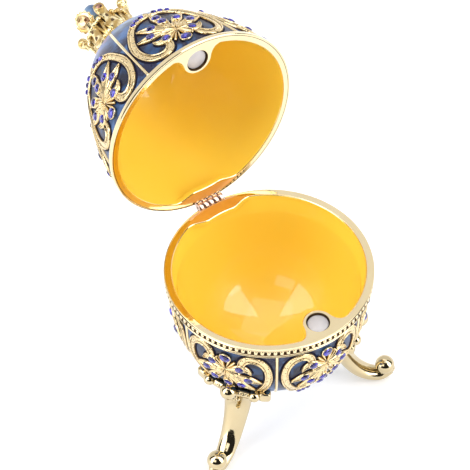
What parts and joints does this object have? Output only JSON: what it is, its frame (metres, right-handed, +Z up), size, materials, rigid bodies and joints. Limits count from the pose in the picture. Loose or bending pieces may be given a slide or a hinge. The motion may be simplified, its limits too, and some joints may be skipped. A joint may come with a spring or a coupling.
{
  "type": "egg trinket box",
  "caption": "Egg-shaped enamelled metal trinket box on curved legs, with a hinged domed lid, magnet catch and crown finial.",
  "frame": {"origin": "on the ground, under the middle of the open box's outline", "axes": "+Z up, +Y from the magnets at the front towards the hinge and the open lid, +X to the right seen from the front"},
  "size_m": [0.0676, 0.1254, 0.1162],
  "materials": {
    "gold": "polished gold plate on a zinc alloy casting",
    "blue_enamel": "glossy mottled blue enamel outside, glossy yellow inside, gold ribs and rim",
    "magnet": "plain nickel plate"
  },
  "bodies": {
    "base": {"bowl": "blue_enamel", "magnet_bowl": "magnet", "leg_left": "gold", "leg_right": "gold", "leg_back": "gold", "hinge_leaf_bowl": "gold", "hinge_pin": "gold"},
    "lid": {"lid": "blue_enamel", "magnet_lid": "magnet", "crown": "gold", "crown_orb": "blue_enamel", "hinge_leaf_lid": "gold"}
  },
  "joints": [
    {"name": "lid_hinge", "type": "hinge", "parent": "base", "child": "lid", "pos_m": [0, -0.00207, 0.0557], "axis": [1, 0, 0], "range_deg": [0, 93]}
  ]
}
